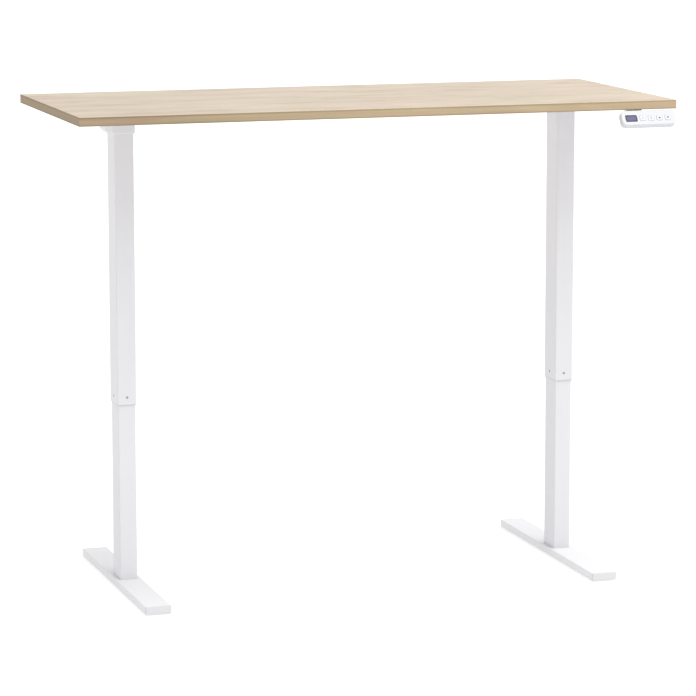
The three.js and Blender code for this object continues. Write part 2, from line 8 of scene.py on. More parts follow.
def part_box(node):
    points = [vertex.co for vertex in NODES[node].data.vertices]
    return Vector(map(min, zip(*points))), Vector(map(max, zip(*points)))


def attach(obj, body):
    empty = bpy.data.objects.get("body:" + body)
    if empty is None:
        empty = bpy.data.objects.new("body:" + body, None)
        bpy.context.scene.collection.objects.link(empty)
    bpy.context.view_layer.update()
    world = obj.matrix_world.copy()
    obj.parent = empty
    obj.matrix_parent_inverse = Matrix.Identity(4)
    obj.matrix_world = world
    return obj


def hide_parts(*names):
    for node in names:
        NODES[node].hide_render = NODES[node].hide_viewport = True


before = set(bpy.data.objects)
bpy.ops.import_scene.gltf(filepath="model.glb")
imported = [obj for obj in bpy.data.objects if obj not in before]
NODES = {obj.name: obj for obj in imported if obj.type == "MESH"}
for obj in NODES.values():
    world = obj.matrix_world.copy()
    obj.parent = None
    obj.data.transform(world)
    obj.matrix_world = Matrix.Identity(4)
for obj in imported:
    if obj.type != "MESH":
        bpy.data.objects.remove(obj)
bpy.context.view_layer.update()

# Height adjustable standing desk. Metres, +Z up, the user sits at -Y.
MM = 0.001
BOARD_MIN, BOARD_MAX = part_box("edge_band")
SIDES = ("left", "right")

# The camera stands to the left of the desk, a little above the board, and looks down on it.
CAMERA_PLACE = (-2.3149, -7.3276, 1.8030)
CAMERA_AZIMUTH = 17.562
CAMERA_DOWN = 9.403
CAMERA_ROLL = -0.048
SENSOR = 36.0
LENS = 172.14
FAR_CLIP = 200

# Light and floor.
DOME_STRENGTH = 0.80
KEY_ENERGY = 2.6
KEY_SPREAD = 70
KEY_DIRECTION = (-0.38, 0.32, -1.0)
FLOOR_REACH = 120
FLOOR_GLOW = 0.54

# Walls and radii of the steel, layers of the board and the radius of the leads.
TUBE_WALL = 1.2 * MM
UPPER_RADIUS = 3.5 * MM
LOWER_RADIUS = 3 * MM
FOOT_WALL = 1.8 * MM
FOOT_RADIUS = 2.2 * MM
BEAM_WALL = 1.5 * MM
BAND = 1.0 * MM
FOIL = 0.6 * MM
# The width of the painted highlight along the front of the top face.
PAINTED_HIGHLIGHT_BAND = 14 * MM
LEAD_RADIUS = 2 * MM

# The handset's face leans back by the tilt. Its size and its row of keys are in its own plane.
TILT = math.radians(34)
HAND_WIDTH = 132 * MM
HAND_HEIGHT = 38 * MM
HAND_RADIUS = 10.5 * MM
KEY_ROW = -21 * MM
KEYS = ("preset_1", "preset_2", "up", "down")


# ---------------------------------------------------------------- mesh helpers
class Shape:
    """Collects closed shells of vertices and faces, each placed by a matrix."""

    def __init__(self):
        self.vertices = []
        self.faces = []

    def add(self, shell, matrix=None):
        points, faces = shell
        start = len(self.vertices)
        matrix = matrix or Matrix.Identity(4)
        self.vertices += [matrix @ Vector(point) for point in points]
        self.faces += [[start + index for index in face] for face in faces]
        return self

    def mesh(self, name):
        mesh = bpy.data.meshes.new(name)
        mesh.from_pydata([tuple(v) for v in self.vertices], [], self.faces)
        mesh.validate()
        soup = bmesh.new()
        soup.from_mesh(mesh)
        bmesh.ops.recalc_face_normals(soup, faces=soup.faces)
        soup.to_mesh(mesh)
        soup.free()
        return mesh


def loft(rings, loop=False):
    """Joins rings of equally many points, as a closed loop or with a cap at both ends."""
    count = len(rings[0])
    points = [point for ring in rings for point in ring]
    faces = []
    last = len(rings) if loop else len(rings) - 1
    for i in range(last):
        a = i * count
        b = (i + 1) % len(rings) * count
        for k in range(count):
            n = (k + 1) % count
            faces.append([a + k, a + n, b + n, b + k])
    if not loop:
        faces.append(list(range(count))[::-1])
        faces.append([(len(rings) - 1) * count + k for k in range(count)])
    return points, faces


def rounded_ring(width, height, radius, z, per_corner=6):
    """A rectangle with rounded corners."""
    radius = max(radius, 0.05 * MM)
    points = []
    for side_x, side_y, start in ((1, -1, -90), (1, 1, 0), (-1, 1, 90), (-1, -1, 180)):
        for k in range(per_corner + 1):
            angle = math.radians(start + 90 * k / per_corner)
            x = side_x * (width / 2 - radius) + radius * math.cos(angle)
            y = side_y * (height / 2 - radius) + radius * math.sin(angle)
            points.append((x, y, z))
    return points


def circle_ring(radius, z, count=28):
    angles = [2 * math.pi * k / count for k in range(count)]
    return [(radius * math.cos(angle), radius * math.sin(angle), z) for angle in angles]


def hexagon_ring(radius, z, count=24):
    """A hexagon with the given corner radius, cut into as many points as a circle."""
    points = []
    for k in range(count):
        angle = 2 * math.pi * k / count
        from_middle = (angle % (math.pi / 3)) - math.pi / 6
        reach = radius * math.cos(math.pi / 6) / math.cos(from_middle)
        points.append((reach * math.cos(angle), reach * math.sin(angle), z))
    return points


def soft_profile(z0, z1, edge0, edge1, steps=4):
    """Pairs of inset and height that round the two ends of a prism."""
    pairs = []
    for k in range(steps + 1):
        angle = math.pi / 2 * k / steps
        pairs.append((edge0 * (1 - math.sin(angle)), z0 + edge0 * (1 - math.cos(angle))))
    for k in range(steps, -1, -1):
        angle = math.pi / 2 * k / steps
        pairs.append((edge1 * (1 - math.sin(angle)), z1 - edge1 * (1 - math.cos(angle))))
    return pairs


def soft_block(width, height, radius, z0, z1, edge0, edge1=None, per_corner=6):
    """A block with rounded corners, and with softened edges at its two ends."""
    edge1 = edge0 if edge1 is None else edge1
    return loft([rounded_ring(width - 2 * inset, height - 2 * inset, radius - inset, z, per_corner)
                 for inset, z in soft_profile(z0, z1, edge0, edge1)])


def soft_rod(radius, z0, z1, edge0, edge1=None, count=28):
    """A round bar with softened edges at its two ends."""
    edge1 = edge0 if edge1 is None else edge1
    profile = soft_profile(z0, z1, edge0, edge1)
    return loft([circle_ring(radius - inset, z, count) for inset, z in profile])


def rect_tube(width, height, radius, wall, z0, z1, edge, per_corner=7):
    """A rectangular tube, open at both ends."""
    outer = [rounded_ring(width - 2 * inset, height - 2 * inset, radius - inset, z, per_corner)
             for inset, z in soft_profile(z0, z1, edge, edge, 2)]
    inner_size = (width - 2 * wall, height - 2 * wall, radius - wall)
    inner = [rounded_ring(*inner_size, z, per_corner) for z in (z1, z0)]
    return loft(outer + inner, loop=True)


def socket_screw(radius, head, deep=0.6):
    """A round head of the given height standing on z = 0, with a hexagon socket."""
    outside = [(1, -0.4 * MM), (1, 0), (1, head * 0.6), (0.88, head)]
    rings = [circle_ring(radius * part, z, 24) for part, z in outside]
    rings.append(hexagon_ring(radius * 0.55, head, 24))
    rings.append(hexagon_ring(radius * 0.5, head * (1 - deep), 24))
    return loft(rings)


def cross_screw(radius, head):
    """A flat domed wood screw head on z = 0."""
    outside = [(1, -0.3 * MM), (1, 0), (0.9, head * 0.55), (0.6, head * 0.9), (0.25, head)]
    return loft([circle_ring(radius * part, z, 20) for part, z in outside])


def move(x=0.0, y=0.0, z=0.0):
    return Matrix.Translation((x, y, z))


ALONG_X = Matrix.Rotation(math.pi / 2, 4, "Y")
ALONG_Y = Matrix.Rotation(-math.pi / 2, 4, "X")
DOWNWARD = Matrix.Rotation(math.pi, 4, "X")


def piece(name, mesh, finish, body, replaces=(), sharp=35):
    """Adds one named piece that rides on a body. Edges above the sharp angle stay crisp."""
    if isinstance(mesh, Shape):
        mesh = mesh.mesh(name)
    obj = bpy.data.objects.new(name, mesh)
    bpy.context.scene.collection.objects.link(obj)
    mesh.materials.clear()
    mesh.materials.append(finish)
    for polygon in mesh.polygons:
        polygon.use_smooth = True
    mesh.set_sharp_from_angle(angle=math.radians(sharp))
    weighted = obj.modifiers.new("weighted normals", "WEIGHTED_NORMAL")
    weighted.keep_sharp = True
    weighted.weight = 80
    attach(obj, body)
    if replaces:
        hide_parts(*replaces)
    return obj


def combined(target, tools, operation="DIFFERENCE"):
    """The mesh of a shape after each tool shape is cut from it or joined to it."""
    base = bpy.data.objects.new("work", target.mesh("work"))
    bpy.context.scene.collection.objects.link(base)
    helpers = []
    for i, tool in enumerate(tools):
        helper = bpy.data.objects.new(f"tool_{i}", tool.mesh(f"tool_{i}"))
        bpy.context.scene.collection.objects.link(helper)
        helpers.append(helper)
        modifier = base.modifiers.new(f"step_{i}", "BOOLEAN")
        modifier.operation = operation
        modifier.solver = "EXACT"
        modifier.object = helper
    bpy.context.view_layer.update()
    graph = bpy.context.evaluated_depsgraph_get()
    mesh = bpy.data.meshes.new_from_object(base.evaluated_get(graph))
    for obj in [base, *helpers]:
        spare = obj.data
        bpy.data.objects.remove(obj)
        bpy.data.meshes.remove(spare)
    return mesh


# ---------------------------------------------------------------- materials
class Nodes:
    """A small builder for one material's node tree."""

    def __init__(self, name):
        self.material = bpy.data.materials.new(name)
        self.material.use_nodes = True
        self.tree = self.material.node_tree
        self.shader = self.tree.nodes["Principled BSDF"]
        self.coordinates = self.new("ShaderNodeTexCoord").outputs["Object"]

    def new(self, kind, **values):
        node = self.tree.nodes.new(kind)
        for key, value in values.items():
            setattr(node, key, value)
        return node

    def link(self, a, b):
        self.tree.links.new(a, b)

    def stretched(self, scale):
        mapping = self.new("ShaderNodeMapping")
        mapping.inputs["Scale"].default_value = scale
        self.link(self.coordinates, mapping.inputs["Vector"])
        return mapping.outputs["Vector"]

    def noise(self, vector, scale, detail=4.0, roughness=0.55, distortion=0.0):
        noise = self.new("ShaderNodeTexNoise")
        noise.inputs["Scale"].default_value = scale
        noise.inputs["Detail"].default_value = detail
        noise.inputs["Roughness"].default_value = roughness
        noise.inputs["Distortion"].default_value = distortion
        self.link(vector, noise.inputs["Vector"])
        return noise.outputs["Fac"]

    def along(self, axis, low, high, start=0.0, end=1.0):
        """A value that runs from start to end between two places on an axis."""
        parts = self.new("ShaderNodeSeparateXYZ")
        self.link(self.coordinates, parts.inputs["Vector"])
        spread = self.new("ShaderNodeMapRange")
        spread.inputs["From Min"].default_value = low
        spread.inputs["From Max"].default_value = high
        spread.inputs["To Min"].default_value = start
        spread.inputs["To Max"].default_value = end
        self.link(parts.outputs[axis], spread.inputs["Value"])
        return spread.outputs["Result"]

    def ramp(self, value, stops):
        ramp = self.new("ShaderNodeValToRGB")
        elements = ramp.color_ramp.elements
        while len(elements) < len(stops):
            elements.new(0.5)
        for element, (position, colour) in zip(elements, stops):
            element.position = position
            element.color = (*colour, 1)
        self.link(value, ramp.inputs["Fac"])
        return ramp.outputs["Color"]

    def mix(self, a, b, factor, kind="MIX"):
        mix = self.new("ShaderNodeMix", data_type="RGBA", blend_type=kind)
        if isinstance(factor, float):
            mix.inputs["Factor"].default_value = factor
        else:
            self.link(factor, mix.inputs["Factor"])
        self.link(a, mix.inputs["A"])
        self.link(b, mix.inputs["B"])
        return mix.outputs["Result"]

    def bump(self, height, strength, distance, after=None):
        bump = self.new("ShaderNodeBump")
        bump.inputs["Strength"].default_value = strength
        bump.inputs["Distance"].default_value = distance
        self.link(height, bump.inputs["Height"])
        if after is not None:
            self.link(after, bump.inputs["Normal"])
        return bump.outputs["Normal"]

    def range(self, value, low, high):
        spread = self.new("ShaderNodeMapRange")
        spread.inputs["To Min"].default_value = low
        spread.inputs["To Max"].default_value = high
        self.link(value, spread.inputs["Value"])
        return spread.outputs["Result"]


def scaled(colour, factor):
    return tuple(min(1.0, channel * factor) for channel in colour)


def speckled(name, colour, rough, metal=0.0, vary=0.02, grain=900.0, bump=0.12):
    """A finish with a faint drift of tone, an uneven gloss and a fine surface grain."""
    nodes = Nodes(name)
    plain = nodes.stretched((1, 1, 1))
    drift = nodes.noise(plain, 7.0, 3.0)
    fine = nodes.noise(plain, grain, 3.0)
    tone = nodes.ramp(drift, [(0.3, scaled(colour, 1 - vary)), (0.7, scaled(colour, 1 + vary))])
    nodes.link(tone, nodes.shader.inputs["Base Color"])
    gloss = nodes.noise(plain, grain * 0.2, 4.0)
    nodes.link(nodes.range(gloss, rough - 0.05, rough + 0.05), nodes.shader.inputs["Roughness"])
    nodes.link(nodes.bump(fine, bump, 0.2 * MM), nodes.shader.inputs["Normal"])
    nodes.shader.inputs["Metallic"].default_value = metal
    return nodes.material


def brushed(name, colour, rough, scale):
    """Metal with fine drawn lines along one direction."""
    nodes = Nodes(name)
    lines = nodes.noise(nodes.stretched(scale), 40.0, 5.0, 0.7)
    tone = nodes.ramp(lines, [(0.25, scaled(colour, 0.86)), (0.75, scaled(colour, 1.1))])
    nodes.link(tone, nodes.shader.inputs["Base Color"])
    nodes.link(nodes.range(lines, rough - 0.08, rough + 0.1), nodes.shader.inputs["Roughness"])
    nodes.link(nodes.bump(lines, 0.15, 0.1 * MM), nodes.shader.inputs["Normal"])
    nodes.shader.inputs["Metallic"].default_value = 1.0
    return nodes.material


WHITE = (1.0, 1.0, 1.0)
PINK_TO_OLIVE = [
    (0.36, (1.0, 0.935, 0.925)), (0.5, (0.99, 0.975, 0.96)), (0.64, (0.95, 0.99, 0.90))]
STRONG_PINK_TO_OLIVE = [
    (0.34, (1.0, 0.885, 0.85)), (0.5, (0.985, 0.965, 0.935)), (0.66, (0.935, 0.985, 0.83))]
STREAK_TINTS = [
    (0.33, (0.79, 0.775, 0.75)), (0.43, (0.91, 0.90, 0.885)), (0.55, (0.94, 0.935, 0.93)),
    (0.67, (1.0, 1.0, 1.0))]
PATCH_TINTS = [(0.38, (1.0, 0.955, 0.94)), (0.5, (1.0, 0.985, 0.965)), (0.62, (0.975, 1.0, 0.94))]


def along_grain(axis, a, b):
    """The stretch of a pattern: a along the grain, and b across it."""
    return (a, b, b) if axis == "x" else (b, a, b)


def grain_colour(nodes, axis, tones, streak, hues, lines, pores):
    """Tonal bands, tinted streaks, growth lines, short dark pores and broad patches."""
    band_noise = nodes.noise(nodes.stretched(along_grain(axis, 0.55, 7.0)), 3.0, 3.0, 0.5, 0.6)
    hue_noise = nodes.noise(nodes.stretched(along_grain(axis, *streak)), 3.0, 3.0, 0.55, 0.3)
    patch_noise = nodes.noise(nodes.stretched(along_grain(axis, 1.6, 9.0)), 2.0, 2.0, 0.5, 0.8)
    layers = [
        (nodes.ramp(hue_noise, hues), 0.9),
        (nodes.ramp(lines, [(0.35, (0.90, 0.885, 0.86)), (0.62, WHITE)]), 0.85),
        (nodes.ramp(pores, [(0.24, (0.80, 0.76, 0.70)), (0.36, WHITE)]), 0.6),
        (nodes.ramp(patch_noise, PATCH_TINTS), 0.9)]
    colour = nodes.ramp(band_noise, list(zip((0.30, 0.50, 0.70), tones)))
    for layer, strength in layers:
        colour = nodes.mix(colour, layer, strength, "MULTIPLY")
    return colour


def top_face_streaks_and_highlight(nodes):
    """Broad streaks over the top face, and a painted highlight: a paler strip along its front top
    edge.
    """
    noise = nodes.noise(nodes.stretched(along_grain("x", 2.6, 10.0)), 3.0, 3.0, 0.62, 0.15)
    reach = nodes.along("Y", BOARD_MIN.y, BOARD_MIN.y + PAINTED_HIGHLIGHT_BAND)
    # Painted highlight: the top behind the front strip is darkened, so the strip reads as light
    # caught on the edge.
    painted_highlight = nodes.ramp(reach, [(0.0, WHITE), (0.7, WHITE), (1.0, (0.885, 0.885, 0.885))])
    return [nodes.ramp(noise, STREAK_TINTS), painted_highlight]


def oak(name, tones, streak, shade=(1, 1, 1), axis="x", hues=PINK_TO_OLIVE, edge=None):
    """Oak grained laminate.

    The shade is painted shade and light: the brightness at the board's left end, middle and right
    end.
    An edge strip has tints from the underside to the top face, as stops of height and colour.
    """
    nodes = Nodes(name)
    line_noise = nodes.noise(nodes.stretched(along_grain(axis, 0.9, 70.0)), 3.2, 5.0, 0.62, 0.25)
    pore_noise = nodes.noise(nodes.stretched(along_grain(axis, 9.0, 420.0)), 3.0, 2.0, 0.5)
    colour = grain_colour(nodes, axis, tones, streak, hues, line_noise, pore_noise)
    # Painted shade and light: a brightness ramp from the board's left end to its right end.
    stops = [(position, (value,) * 3) for position, value in zip((0.0, 0.5, 1.0), shade)]
    tints = [nodes.ramp(nodes.along("X", BOARD_MIN.x, BOARD_MAX.x), stops)]
    if edge:
        tints.append(nodes.ramp(nodes.along("Z", BOARD_MIN.z, BOARD_MAX.z), edge))
    else:
        tints += top_face_streaks_and_highlight(nodes)
    # Multiplies in the painted shade and light along the board, then the edge tints, or the top's
    # streaks and painted highlight.
    for tint in tints:
        colour = nodes.mix(colour, tint, 1.0, "MULTIPLY")
    nodes.link(colour, nodes.shader.inputs["Base Color"])
    nodes.link(nodes.range(line_noise, 0.45, 0.58), nodes.shader.inputs["Roughness"])
    lines_bump = nodes.bump(line_noise, 0.12, 0.2 * MM)
    all_bumps = nodes.bump(pore_noise, 0.22, 0.2 * MM, lines_bump)
    nodes.link(all_bumps, nodes.shader.inputs["Normal"])
    nodes.shader.inputs["Specular IOR Level"].default_value = 0.35
    return nodes.material


def satin(name, colour, rough=0.5, grain=2600.0, bump=0.08, vary=0.012):
    return speckled(name, colour, rough, vary=vary, grain=grain, bump=bump)


WHITE_STEEL = satin("white powder coat", (0.65, 0.643, 0.665), 0.42, 1100.0, 0.18)
# The feet get a brighter copy of the white powder coat: painted light that offsets the shade the
# board throws on them.
LIT_FOOT_STEEL = satin("white powder coat with painted light for the feet", (0.71, 0.705, 0.725), 0.42, 1100.0, 0.18)
WHITE_PLASTIC = satin("white moulded plastic", (0.61, 0.605, 0.62), 0.5, 2200.0, 0.1)
# The motor cover gets a brighter copy of the white plastic: painted light that offsets the board's
# shade at the top of the column.
LIT_COVER_PLASTIC = satin("white cover plastic with painted light", (0.655, 0.65, 0.66), 0.5, 2200.0, 0.1)
HANDSET_PLASTIC = satin("handset plastic", (0.575, 0.59, 0.605), 0.45, bump=0.05)
# The handset's rear shell gets a darker copy of the handset plastic: painted shade on its rim,
# which faces down and to the left.
SHADED_REAR_PLASTIC = satin("handset rear plastic with painted shade", (0.55, 0.555, 0.58))
BUTTON_PLASTIC = satin("button plastic", (0.60, 0.61, 0.63), 0.42, bump=0.04)
MARK_INK = satin("grey printed mark", (0.045, 0.045, 0.055), 0.6, 3000.0, 0.03, 0.05)
LENS_BLACK = satin("smoked display window", (0.012, 0.010, 0.024), 0.4, 500.0, 0.01, 0.06)
LENS_VIOLET = satin("dim display", (0.078, 0.068, 0.175), 0.4, 900.0, 0.01, 0.08)
BLACK_PLASTIC = satin("black moulded plastic", (0.022, 0.022, 0.025), 0.5, 1800.0, 0.25, 0.08)
BLACK_RUBBER = satin("black rubber", (0.03, 0.03, 0.03), 0.75, 1400.0, 0.3, 0.1)
LEAD_SHEATH = satin("lead sheath", (0.03, 0.03, 0.032), 0.55, 1500.0, 0.1, 0.1)
NYLON = satin("natural nylon", (0.58, 0.57, 0.55), 0.45, 900.0, 0.05, 0.03)
CIRCUIT_GREEN = satin("circuit board", (0.03, 0.13, 0.06), 0.35, 1600.0, 0.2, 0.15)
BACKING = satin("backing foil", (0.62, 0.57, 0.49), 0.6, 800.0, 0.12, 0.02)
GEAR_STEEL = speckled("sintered gear steel", (0.33, 0.34, 0.36), 0.38, 1.0, 0.08, 1200.0, 0.3)
MOTOR_BLACK = speckled("black motor can", (0.025, 0.025, 0.03), 0.35, 0.2, 0.06, 1200.0, 0.1)
ZINC = brushed("zinc plated steel", (0.62, 0.63, 0.66), 0.33, (6, 6, 60))
DARK_ZINC = brushed("dull dark screw", (0.13, 0.13, 0.14), 0.5, (20, 20, 20))
GROUND_STEEL = brushed("ground steel", (0.55, 0.56, 0.58), 0.25, (80, 80, 4))
BRASS = brushed("brass pin", (0.72, 0.55, 0.28), 0.3, (60, 8, 60))

TOP_TONES = [(0.610, 0.528, 0.438), (0.648, 0.564, 0.475), (0.678, 0.594, 0.503)]
LONG_EDGE_TONES = [(0.365, 0.294, 0.198), (0.44, 0.352, 0.241), (0.502, 0.412, 0.290)]
# The end strips get far darker tones than the long strips: painted shade on the board's end faces.
SHADED_END_EDGE_TONES = [(0.254, 0.182, 0.101), (0.285, 0.206, 0.114), (0.307, 0.223, 0.124)]
EDGE_TINTS = [
    (0.0, (0.70, 0.68, 0.64)), (0.10, (0.76, 0.74, 0.70)), (0.18, (1.0, 1.0, 1.0)),
    (0.45, (1.0, 1.0, 1.0)), (0.60, (1.0, 1.0, 0.97)), (0.78, (1.0, 1.0, 1.0)),
    (0.85, (0.74, 0.71, 0.67)), (0.93, (0.78, 0.75, 0.71)), (0.97, (1.0, 1.0, 1.0))]
# The top and the long edge strips get painted shade towards the board's left end and painted light
# towards its right end.
OAK_TOP = oak("oak laminate", TOP_TONES, (1.3, 8.0), (0.935, 0.98, 1.05))
OAK_EDGE_X = oak("oak edge band lengthwise", LONG_EDGE_TONES, (1.9, 75.0), (0.78, 0.975, 1.03),
                 hues=STRONG_PINK_TO_OLIVE, edge=EDGE_TINTS)
SHADED_OAK_EDGE_Y = oak("oak edge band across with painted shade", SHADED_END_EDGE_TONES, (2.2, 75.0), axis="y", edge=EDGE_TINTS)


# ---------------------------------------------------------------- camera, floor and light
def place_camera():
    data = bpy.data.cameras.new("camera")
    data.sensor_width = SENSOR
    data.lens = LENS
    data.clip_end = FAR_CLIP
    camera = bpy.data.objects.new("camera", data)
    bpy.context.scene.collection.objects.link(camera)
    turn = Matrix.Rotation(math.radians(-CAMERA_AZIMUTH), 4, "Z")
    tilt = Matrix.Rotation(math.radians(90 - CAMERA_DOWN), 4, "X")
    roll = Matrix.Rotation(math.radians(CAMERA_ROLL), 4, "Z")
    camera.matrix_world = Matrix.Translation(CAMERA_PLACE) @ turn @ tilt @ roll
    bpy.context.scene.camera = camera


def make_floor():
    mesh = bpy.data.meshes.new("floor")
    signs = ((-1, -1), (1, -1), (1, 1), (-1, 1))
    corners = [(FLOOR_REACH * x, FLOOR_REACH * y, 0) for x, y in signs]
    mesh.from_pydata(corners, [], [(0, 1, 2, 3)])
    floor = bpy.data.objects.new("floor", mesh)
    bpy.context.scene.collection.objects.link(floor)
    nodes = Nodes("pale floor")
    clouds = nodes.noise(nodes.stretched((1, 1, 1)), 2.0)
    tone = nodes.ramp(clouds, [(0.3, (0.51, 0.51, 0.51)), (0.7, (0.53, 0.53, 0.53))])
    nodes.link(tone, nodes.shader.inputs["Base Color"])
    nodes.shader.inputs["Roughness"].default_value = 0.9
    nodes.shader.inputs["Specular IOR Level"].default_value = 0.0
    nodes.shader.inputs["Emission Color"].default_value = (1, 1, 1, 1)
    nodes.shader.inputs["Emission Strength"].default_value = FLOOR_GLOW
    mesh.materials.append(nodes.material)


def make_light():
    """An even white studio dome, and a very soft key light from above the right front corner."""
    world = bpy.data.worlds.new("studio")
    world.use_nodes = True
    background = world.node_tree.nodes["Background"]
    background.inputs["Color"].default_value = (1.0, 1.0, 1.0, 1)
    background.inputs["Strength"].default_value = DOME_STRENGTH
    bpy.context.scene.world = world
    data = bpy.data.lights.new("key", "SUN")
    data.energy = KEY_ENERGY
    data.angle = math.radians(KEY_SPREAD)
    key = bpy.data.objects.new("key", data)
    bpy.context.scene.collection.objects.link(key)
    key.rotation_euler = Vector(KEY_DIRECTION).to_track_quat("-Z", "Y").to_euler()
    bpy.context.scene.view_settings.view_transform = "Standard"


# ---------------------------------------------------------------- desktop
def span(node):
    """The low corner, high corner and middle of a CAD node."""
    low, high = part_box(node)
    return low, high, (low + high) / 2


def make_desktop():
    low, high, middle = span("edge_band")
    size = high - low
    centre = move(middle.x, middle.y)
    foil_top = low.z + FOIL
    inner_x = size.x - 2 * BAND
    inner_y = size.y - 2 * BAND
    board = soft_block(inner_x, inner_y, 0.3 * MM, foil_top, high.z, 0.1 * MM, 0.25 * MM, 3)
    piece("desktop_panel", Shape().add(board, centre), OAK_TOP, "desk_top",
          ["desktop_board"])
    backing_x = inner_x - 0.2 * MM
    backing_y = inner_y - 0.2 * MM
    backing = soft_block(backing_x, backing_y, 0.3 * MM, low.z, foil_top, 0.05 * MM)
    piece("desktop_backing", Shape().add(backing, centre), BACKING, "desk_top")
    thick = 0.95 * MM
    seam = (BAND - thick) / 2
    height = size.z
    for name, y in (("front", low.y), ("back", high.y - BAND)):
        strip = soft_block(size.x, height, 0.7 * MM, 0, thick, 0.35 * MM, 0.35 * MM, 3)
        place = move(middle.x, y + seam, middle.z) @ ALONG_Y
        piece(f"edge_strip_{name}", Shape().add(strip, place), OAK_EDGE_X, "desk_top",
              ["edge_band"])
    for name, x in (("left", low.x), ("right", high.x - BAND)):
        strip = soft_block(height, inner_y, 0.7 * MM, 0, thick, 0.35 * MM, 0.35 * MM, 3)
        place = move(x + seam, middle.y, middle.z) @ ALONG_X
        piece(f"edge_strip_{name}", Shape().add(strip, place), SHADED_OAK_EDGE_Y, "desk_top")


# ---------------------------------------------------------------- columns and feet
def make_column(label, body):
    low, high, middle = span(f"{label}_upper_tube")
    size = high - low
    upper = rect_tube(size.x, size.y, UPPER_RADIUS, TUBE_WALL, low.z, high.z, 0.35 * MM)
    piece(f"{label}_outer_column", Shape().add(upper, move(middle.x, middle.y)), WHITE_STEEL,
          "desk_top", [f"{label}_upper_tube"])
    low, high, middle = span(f"{label}_lower_tube")
    size = high - low
    lower = rect_tube(size.x, size.y, LOWER_RADIUS, TUBE_WALL, low.z, high.z, 0.2 * MM)
    bead = 0.8 * MM
    weld_size = (size.x + 2 * bead, size.y + 2 * bead, LOWER_RADIUS + bead, TUBE_WALL)
    weld = rect_tube(*weld_size, low.z, low.z + 0.9 * MM, 0.5 * MM)
    stem = Shape().add(lower, move(middle.x, middle.y)).add(weld, move(middle.x, middle.y))
    piece(f"{label}_inner_column", stem, WHITE_STEEL, body,
          [f"{label}_lower_tube"])
    make_set_screws(label)


def make_set_screws(label):
    """One glide adjusting screw in each face of the outer column, just above its mouth."""
    outward = 1 if label == "right" else -1
    facing = {"front": (90, "X"), "back": (-90, "X"), "outer": (90 * outward, "Y"),
              "inner": (-90 * outward, "Y")}
    head = 0.3 * MM
    for face, (degrees, axis) in facing.items():
        turn = Matrix.Rotation(math.radians(degrees), 4, axis)
        node = f"{label}_glide_screw_{face}"
        low, high, middle = span(node)
        half = (high - low) / 2
        direction = turn @ Vector((0, 0, 1))
        tip = middle + Vector((direction.x * half.x, direction.y * half.y, 0))
        place = Matrix.Translation(tip - direction * head) @ turn
        screw = Shape().add(socket_screw(2.5 * MM, head, 3.0), place)
        piece(f"{label}_set_screw_{face}", screw, DARK_ZINC, "desk_top", [node])


def cap_ring(half, length, corner, inset, z):
    """The outline of an end cap: square where it meets the tube, rounded at its far end."""
    corner = corner - inset
    half = half - inset
    length = length - inset
    points = [(-half, 0, z), (half, 0, z)]
    for side, start in ((1, 0), (-1, 90)):
        for k in range(9):
            angle = math.radians(start + 90 * k / 8)
            points.append((side * (half - corner) + corner * math.cos(angle),
                           length - corner + corner * math.sin(angle), z))
    return points


def make_foot(label, body):
    low, high, middle = span(f"{label}_foot")
    size = high - low
    tube = rect_tube(size.x, size.z, FOOT_RADIUS, FOOT_WALL, low.y, high.y, 0.2 * MM)
    place = move(middle.x, 0, middle.z) @ ALONG_Y
    piece(f"{label}_foot_tube", Shape().add(tube, place), LIT_FOOT_STEEL, body,
          [f"{label}_foot"])
    bolts = Shape()
    for x in (-1, 1):
        for y in (-1, 1):
            place = move(middle.x + x * 10 * MM, middle.y + y * 22 * MM, low.z)
            bolts.add(socket_screw(5 * MM, 1.4 * MM), place @ DOWNWARD)
    piece(f"{label}_foot_bolts", bolts, ZINC, body)
    for where in ("front", "back"):
        make_end_cap(label, where, body)
        make_leveller(label, where)


def make_end_cap(label, where, body):
    node = f"{label}_foot_cap_{where}"
    low, high, middle = span(node)
    seam = 0.15 * MM
    length = 6 * MM - seam
    half = (high.x - low.x) / 2
    rings = [cap_ring(half, length, 3 * MM, inset, z)
             for inset, z in soft_profile(low.z, high.z, 0.8 * MM, 0.8 * MM)]
    y = low.y + length if where == "front" else high.y - length
    turn = Matrix.Rotation(math.pi if where == "front" else 0, 4, "Z")
    cap = Shape().add(loft(rings), move(middle.x, y) @ turn)
    piece(f"{label}_end_cap_{where}", cap, WHITE_PLASTIC, body, [node])


def make_leveller(label, where):
    """A round pad under a threaded stem."""
    node = f"{label}_leveller_{where}"
    low, high, middle = span(node)
    thick = 2.4 * MM
    pitch = 1.25 * MM
    disc = soft_rod((high.x - low.x) / 2, low.z, low.z + thick, 0.5 * MM, 0.6 * MM, 36)
    rings = []
    for k in range(int((high.z - low.z - thick) / pitch)):
        z = low.z + thick - 0.2 * MM + k * pitch
        rings += [circle_ring(3.4 * MM, z, 20), circle_ring(4 * MM, z + pitch / 2, 20)]
    centre = move(middle.x, middle.y)
    pad = Shape().add(disc, centre).add(loft(rings), centre)
    piece(f"{label}_{where}_level_foot", pad, BLACK_RUBBER, f"{label}_{where}_glide",
          [node])


# ---------------------------------------------------------------- frame under the board
def arm_section(y, depth):
    """A folded channel seen from its end, open below."""
    half, web, wall, bend = 30 * MM, 3 * MM, 2 * MM, 2.5 * MM
    points = [(-half, y, -depth)]
    for side, start in ((-1, 180), (1, 90)):
        for k in range(5):
            angle = math.radians(start - 90 * k / 4)
            x = side * (half - bend) + bend * math.cos(angle)
            points.append((x, y, -bend + bend * math.sin(angle)))
    inner = half - wall
    points += [(half, y, -depth), (inner, y, -depth), (inner, y, -web), (-inner, y, -web)]
    points.append((-inner, y, -depth))
    return points


